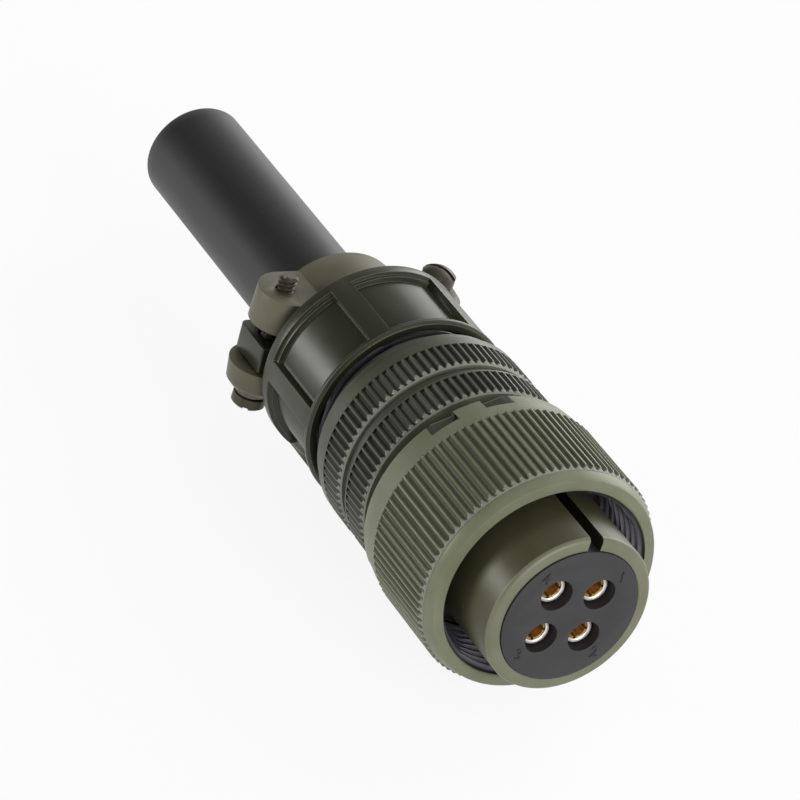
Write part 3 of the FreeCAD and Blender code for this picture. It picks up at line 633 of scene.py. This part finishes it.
back = turned("back_shell_dressed", back_outline, BAND_FLUTES * len(FLUTE_COLUMNS))
polar_shape(back, back_shape)
# Painted shade: the second colour darkens the band's flute valleys.
back_plating = plating("olive_back_shell_plating", "#45473a", "#1d1e17", "#4e5040",
                       (rear_rim, back_face, band_valley_r, band_r), roughness=0.36)
finish_mesh(back, back_plating, "plug_body")
# Painted shade: the tail thread's grooves are coloured near-black, for the shade between its turns.
tail_plating = plating("dull_tail_plating", "#54525a", "#15150f", "#626069",
                       (TAIL_REAR, boss_rear, TAIL_R - TAIL_THREAD_DEPTH, TAIL_R),
                       roughness=0.35, metallic=0.6)
back.data.materials.append(tail_plating)
back.data.materials.append(front_edge_highlight)
for polygon in back.data.polygons:
    if polygon.center.x < (boss_rear - STEP) * MM:
        polygon.material_index = 1
    # Painted highlight on the rear band's front bevel.
    elif on_front_edge(polygon, back_face):
        polygon.material_index = 2
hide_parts("back_shell")


# Clamp body. A die-cast ring screws onto the tail. Six shallow windows in its wall save metal and
# give grip, and two ears behind it carry the clamp screws. The cast edges are a little rounded.
RING_EDGE_ROUND = 0.1


def soften(piece, width, degrees=35, edge_wear_and_highlight=None):
    """Small rounded edges all over, put on with a bevel modifier, in a second material if given: paler edge
    wear with a painted highlight.
    """
    deselect()
    bpy.context.view_layer.objects.active = piece
    modifier = piece.modifiers.new("edges", "BEVEL")
    if edge_wear_and_highlight:
        piece.data.materials.append(edge_wear_and_highlight)
        modifier.material = len(piece.data.materials) - 1
    modifier.width = width * MM
    modifier.segments = 2
    modifier.limit_method = "ANGLE"
    modifier.angle_limit = math.radians(degrees)
    modifier.use_clamp_overlap = True
    bpy.ops.object.modifier_apply(modifier=modifier.name)


def from_node(name, new_name):
    """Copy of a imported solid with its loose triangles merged, ready to be finished."""
    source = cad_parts[name]
    piece = bpy.data.objects.new(new_name, source.data.copy())
    bpy.context.scene.collection.objects.link(piece)
    deselect()
    piece.select_set(True)
    bpy.context.view_layer.objects.active = piece
    bpy.ops.object.mode_set(mode="EDIT")
    bpy.ops.mesh.select_all(action="SELECT")
    bpy.ops.mesh.remove_doubles(threshold=1e-6)
    bpy.ops.mesh.dissolve_limited(angle_limit=math.radians(0.5))
    bpy.ops.object.mode_set(mode="OBJECT")
    return piece


clamp = from_node("clamp_body", "clamp_body_dressed")
# Paler on every rounded edge: partly wear, partly a painted highlight.
clamp_edge = plating("worn_and_highlighted_clamp_edge", "#5c5d4d", "#2f2e25", "#666757", roughness=0.36)
soften(clamp, RING_EDGE_ROUND, 30, clamp_edge)
clamp_plating = plating("olive_clamp_plating", "#2c2d1d", "#2f2e25", "#343522", roughness=0.33)
finish_mesh(clamp, clamp_plating, "plug_body", 40)
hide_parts("clamp_body")


# Cable bushing. A moulded tube of black synthetic rubber that the clamp bars squeeze on the cable.
# It has a soft gloss, faint streaks along the tube and a few specks of dust.
BUSHING_EDGE = 0.35
BUSHING_BORE_R = 5.5
BUSHING_MOUTH = 0.25        # chamfer of the bore at the far end
BUSHING_STEPS = 96


def rubber(name):
    """Black moulded rubber: dark, softly glossy, with faint streaks along X and dust specks."""
    material = bpy.data.materials.new(name)
    material.use_nodes = True
    tree = material.node_tree
    tree.nodes.clear()
    place = add_node(tree, "ShaderNodeTexCoord").outputs["Object"]
    drawn = add_node(tree, "ShaderNodeMapping", {"Vector": place, "Scale": (0.15, 1, 1)})
    streaks = add_node(tree, "ShaderNodeTexNoise", {"Vector": drawn.outputs[0], "Scale": 1 / (2 * MM),
                                                    "Detail": 3.0})
    specks = add_node(tree, "ShaderNodeTexVoronoi", {"Vector": place, "Scale": 1 / (2.6 * MM)})
    dust = add_node(tree, "ShaderNodeMapRange", {"Value": specks.outputs["Distance"], "From Min": 0.03,
                                                 "From Max": 0.07, "To Min": 0.35, "To Max": 0.0})
    colour = add_node(tree, "ShaderNodeMix", {0: dust.outputs[0], 6: linear("#1d1b1c"), 7: linear("#5a5558")},
                      data_type="RGBA")
    bump = add_node(tree, "ShaderNodeBump", {"Height": streaks.outputs[0], "Strength": 0.15,
                                             "Distance": 0.05 * MM})
    gloss = add_node(tree, "ShaderNodeMapRange", {"Value": streaks.outputs[0],
                                                  "To Min": 0.38, "To Max": 0.52})
    shader = add_node(tree, "ShaderNodeBsdfPrincipled",
                      {"Base Color": colour.outputs[2], "Roughness": gloss.outputs[0],
                       "Normal": bump.outputs[0], "IOR": 1.52})
    add_node(tree, "ShaderNodeOutputMaterial", {"Surface": shader.outputs[0]})
    return material


bushing_rear, bushing_front, bushing_r = box_mm("cable_bushing")
corner = BUSHING_EDGE * 0.3
bushing_outline = (
    [(bushing_front, BUSHING_BORE_R), (bushing_front, bushing_r - BUSHING_EDGE),
     (bushing_front - corner, bushing_r - corner), (bushing_front - BUSHING_EDGE, bushing_r)]
    + [(x, bushing_r) for x in stations(bushing_front - 2, bushing_rear + 2, 12)]
    + [(bushing_rear + BUSHING_EDGE, bushing_r), (bushing_rear + corner, bushing_r - corner),
       (bushing_rear, bushing_r - BUSHING_EDGE), (bushing_rear, BUSHING_BORE_R + BUSHING_MOUTH),
       (bushing_rear + BUSHING_MOUTH, BUSHING_BORE_R)])
bushing = turned("bushing_dressed", bushing_outline, BUSHING_STEPS)
black_rubber = rubber("black_bushing_rubber")
finish_mesh(bushing, black_rubber, "plug_body", 50)
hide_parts("cable_bushing")


# Clamp bars. Two like die-cast bars, one above and one below, hold the bushing. Each has an arch,
# a tapped lug and a plain lug. Their cast edges are soft, and the coat on them is paler.
BAR_EDGE_ROUND = 0.18

bar_plating = plating("olive_bar_plating", "#5b5843", "#34362a", "#65624d", roughness=0.45)
for name, body in (("upper_saddle", "top_bar"), ("lower_saddle", "bottom_bar")):
    bar = from_node(name, f"{name}_dressed")
    soften(bar, BAR_EDGE_ROUND, 30)
    finish_mesh(bar, bar_plating, body, 40)
    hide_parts(name)


# Clamp screws and split washers. Slotted steel screws with domed heads, plated and browned with
# handling. Each passes a plain lug and an ear, and its thread shows where it leaves the tapped lug.
SCREW_R = 1.3
SCREW_PITCH = 0.635         # 40 threads to the inch
SCREW_THREAD_DEPTH = 0.3
SCREW_Y = 11.6
SCREW_LEAN = 4.0            # degrees about X, in the play of the holes
SCREW_TIP_HEIGHT = 10.25
SCREW_TIP_BEVEL = 0.3
SCREW_NECK = 0.2            # plain length under the head
SCREW_THREAD_ROWS = 220
HEAD_SEAT_HEIGHT = 8.164
HEAD_R = 2.35
HEAD_SIDE = 1.4
HEAD_DOME = 0.95
HEAD_SLOT = 0.7
HEAD_SLOT_DEPTH = 1.05
HEAD_SLOT_TURN = 55.0
HEAD_EDGE = 0.1
DOME_ROWS = 8
SCREW_STEPS = 48
WASHER_EDGE_ROUND = 0.08


def metal(name, colour, tint, roughness, grain=1.2, metallic=1.0):
    """Plated or bare metal with faint patches of tint, very slightly uneven."""
    material = bpy.data.materials.new(name)
    material.use_nodes = True
    tree = material.node_tree
    tree.nodes.clear()
    place = add_node(tree, "ShaderNodeTexCoord").outputs["Object"]
    patches = add_node(tree, "ShaderNodeTexNoise", {"Vector": place, "Scale": 1 / (grain * MM),
                                                    "Detail": 3.0})
    blend = add_node(tree, "ShaderNodeMapRange", {"Value": patches.outputs[0],
                                                  "From Min": 0.4, "From Max": 0.65})
    mix = add_node(tree, "ShaderNodeMix", {0: blend.outputs[0], 6: linear(colour), 7: linear(tint)},
                   data_type="RGBA")
    bump = add_node(tree, "ShaderNodeBump", {"Height": patches.outputs[0], "Strength": 0.1,
                                             "Distance": 0.02 * MM})
    shader = add_node(tree, "ShaderNodeBsdfPrincipled",
                      {"Base Color": mix.outputs[2], "Roughness": roughness, "Metallic": metallic,
                       "Normal": bump.outputs[0]})
    add_node(tree, "ShaderNodeOutputMaterial", {"Surface": shader.outputs[0]})
    return material


screw_steel = metal("browned_screw_steel", "#45433a", "#4d483b", 0.4, metallic=0.7)
spring_steel = metal("dark_spring_steel", "#55504b", "#6a625a", 0.38)


def screw(name):
    """Screw along X with its head at +X, measured from where it crosses the plug's middle plane."""
    slant = math.cos(math.radians(SCREW_LEAN))
    tip, seat = -SCREW_TIP_HEIGHT / slant, HEAD_SEAT_HEIGHT / slant
    dome_r = (HEAD_R ** 2 + HEAD_DOME ** 2) / (2 * HEAD_DOME)
    rim = seat + HEAD_SIDE
    top = rim + HEAD_DOME
    dome = [(top - dome_r + math.sqrt(dome_r ** 2 - r ** 2), r)
            for r in [HEAD_R * (1 - i / DOME_ROWS) for i in range(DOME_ROWS)]]
    outline = ([(tip, 0.001), (tip, SCREW_R - SCREW_TIP_BEVEL - 0.05)]
               + [(x, SCREW_R) for x in stations(tip + SCREW_TIP_BEVEL, seat - SCREW_NECK, SCREW_THREAD_ROWS)]
               + [(seat, SCREW_R), (seat, HEAD_R - HEAD_EDGE), (seat + HEAD_EDGE, HEAD_R),
                  (rim - HEAD_EDGE / 2, HEAD_R)]
               + dome + [(top, 0.001)])
    piece = turned(f"{name}_dressed", outline, SCREW_STEPS)

    def thread(x, angle, r):
        on_shank = (x > tip + SCREW_TIP_BEVEL - 0.05) & (x < seat - SCREW_NECK / 2)
        on_shank &= np.abs(r - SCREW_R) < STEP
        cut = SCREW_R - SCREW_THREAD_DEPTH * (1 - thread_wave(x, angle, SCREW_PITCH))
        return x, angle, np.where(on_shank, cut, r)

    polar_shape(piece, thread)
    slot = cube("slot", top - HEAD_SLOT_DEPTH, top + 1, -HEAD_R - 1, HEAD_R + 1,
                -HEAD_SLOT / 2, HEAD_SLOT / 2)
    cut_with(piece, around(slot, HEAD_SLOT_TURN))
    return piece


for name, body, turn in (("screw_right", "right_screw", 0), ("screw_left", "left_screw", 180)):
    low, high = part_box(name)
    upright = placed(screw(name), rotation=(0, -90, 0))
    leaning = placed(upright, ((low.x + high.x) / 2 / MM, SCREW_Y, 0), (-SCREW_LEAN, 0, 0))
    piece = around(leaning, turn)
    finish_mesh(piece, screw_steel, body)
    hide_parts(name)

for name, body in (("washer_right", "top_bar"), ("washer_left", "bottom_bar")):
    washer = from_node(name, f"{name}_dressed")
    soften(washer, WASHER_EDGE_ROUND)
    finish_mesh(washer, spring_steel, body)
    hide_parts(name)


# Insert. Moulded from dark grey resin, it carries the four contacts. Its mouths are eased, and each
# hole has a plain moulded number beside it, counted round from the keyway.
CONTACT_CIRCLE_R = 4.5
CONTACT_COUNT = 4
CONTACT_TURN = 45.0
INSERT_EDGE_ROUND = 0.1
NUMERAL_CIRCLE_R = 8.0
NUMERAL_HEIGHT = 2.3
NUMERAL_RISE = 0.08


def contact_place(i, radius=CONTACT_CIRCLE_R):
    """Centre (y, z) of contact i, in millimetres."""
    angle = math.radians(CONTACT_TURN + KEYWAY_TURN + i * 360 / CONTACT_COUNT)
    return radius * math.sin(angle), radius * math.cos(angle)


def resin(name, colour, tint):
    """Moulded thermoset resin: matt, a little mottled, with a fine grain."""
    material = bpy.data.materials.new(name)
    material.use_nodes = True
    tree = material.node_tree
    tree.nodes.clear()
    place = add_node(tree, "ShaderNodeTexCoord").outputs["Object"]
    mottle = add_node(tree, "ShaderNodeTexNoise", {"Vector": place, "Scale": 1 / (1.5 * MM), "Detail": 6.0})
    mix = add_node(tree, "ShaderNodeMix", {0: mottle.outputs[0], 6: linear(colour), 7: linear(tint)},
                   data_type="RGBA")
    grain = add_node(tree, "ShaderNodeTexNoise", {"Vector": place, "Scale": 1 / (0.2 * MM), "Detail": 2.0})
    bump = add_node(tree, "ShaderNodeBump", {"Height": grain.outputs[0], "Strength": 0.2,
                                             "Distance": 0.03 * MM})
    shader = add_node(tree, "ShaderNodeBsdfPrincipled",
                      {"Base Color": mix.outputs[2], "Roughness": 0.5, "Normal": bump.outputs[0]})
    add_node(tree, "ShaderNodeOutputMaterial", {"Surface": shader.outputs[0]})
    return material


insert_resin = resin("dark_insert_resin", "#232123", "#29272a")
# Painted shade: the walls of the holes and the insert's side, in the same resin, are coloured darker.
hole_wall_shade_resin = resin("painted_shade_hole_wall_resin", "#1e1a1a", "#262121")
insert = from_node("front_insulator", "insert_dressed")
soften(insert, INSERT_EDGE_ROUND, 40)
finish_mesh(insert, insert_resin, "plug_body", 30)
insert.data.materials.append(hole_wall_shade_resin)
for polygon in insert.data.polygons:
    if abs(polygon.normal.x) < FACES_FRONT:
        polygon.material_index = 1
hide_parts("front_insulator")

numerals = []
face_x = box_mm("front_insulator")[1]
for i in range(CONTACT_COUNT):
    deselect()
    bpy.ops.object.text_add()
    text = bpy.context.object
    text.data.body = str(i + 1)
    text.data.size = NUMERAL_HEIGHT * MM
    text.data.align_x = "CENTER"
    text.data.align_y = "CENTER"
    text.data.extrude = NUMERAL_RISE * MM
    bpy.ops.object.convert(target="MESH")
    y, z = contact_place(i, NUMERAL_CIRCLE_R)
    numerals.append(placed(bpy.context.object, (face_x, y, z), (90, 0, 90)))
numeral = joined(numerals, "contact_numerals")
# Painted shade: the raised numbers, of the insert's own resin, are coloured darker.
numeral_shade_resin = resin("painted_shade_numeral_resin", "#1c1b1d", "#232224")
finish_mesh(numeral, numeral_shade_resin, "plug_body")


# Contacts and hoods. Each contact is drilled and slit copper alloy, plated gold, and a bright drawn
# steel hood keeps its four tines together.
TINE_EDGE_ROUND = 0.05
HOOD_R = 1.85
HOOD_WALL = 0.2
HOOD_LIP_R = 1.5            # the hood's mouth is a funnel that leads the pin in between the tines
HOOD_LIP_DEPTH = 0.27
HOOD_EDGE = 0.05
LIP_ARC = (0, 30, 60, 90)   # degrees round the funnel's lip
HOOD_STEPS = 48

gold = metal("contact_gold", "#c8984c", "#e0b873", 0.27, 0.4, 0.8)
bright_steel = metal("hood_steel", "#e4e2e2", "#f0eeee", 0.3, metallic=0.6)
# Painted shade: the hood's inside is coloured dark brown, for the shade within the contact.
hood_inside_shade = metal("painted_shade_hood_inside", "#4a3f36", "#574a3e", 0.5)
for i in range(CONTACT_COUNT):
    piece = from_node(f"contact_{i + 1}", f"contact_{i + 1}_dressed")
    soften(piece, TINE_EDGE_ROUND)
    finish_mesh(piece, gold, "plug_body")
    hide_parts(f"contact_{i + 1}")

    low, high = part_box(f"hood_{i + 1}")
    rear, front = low.x / MM, high.x / MM
    funnel = [(front - HOOD_LIP_DEPTH * math.sin(math.radians(a)),
               HOOD_LIP_R + (HOOD_R - HOOD_EDGE - HOOD_LIP_R) * math.cos(math.radians(a))) for a in LIP_ARC]
    hood_lip_rear = front - HOOD_LIP_DEPTH - 2 * STEP
    outline = ([(rear, HOOD_R), (front - HOOD_EDGE, HOOD_R)] + funnel
               + [(hood_lip_rear, HOOD_LIP_R), (hood_lip_rear, HOOD_R - HOOD_WALL),
                  (rear, HOOD_R - HOOD_WALL)])
    hood = placed(turned(f"hood_{i + 1}_dressed", outline, HOOD_STEPS), (0, *contact_place(i)))
    finish_mesh(hood, bright_steel, "plug_body")
    hood.data.materials.append(hood_inside_shade)
    for polygon in hood.data.polygons:
        centre = polygon.center / MM - Vector((0, *contact_place(i)))
        if centre.x < hood_lip_rear + STEP and math.hypot(centre.y, centre.z) < HOOD_R - HOOD_WALL / 2:
            polygon.material_index = 1
    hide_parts(f"hood_{i + 1}")


# Inner pieces. They are hidden when the plug is together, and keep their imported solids: the spring
# rings that hold nut and inserts, the rear insert and the seal between the shells.
for name, material in (("nut_retaining_ring", spring_steel), ("insert_retaining_ring", spring_steel),
                       ("rear_insulator", insert_resin), ("shell_gasket", black_rubber)):
    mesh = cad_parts[name].data
    mesh.materials.clear()
    mesh.materials.append(material)
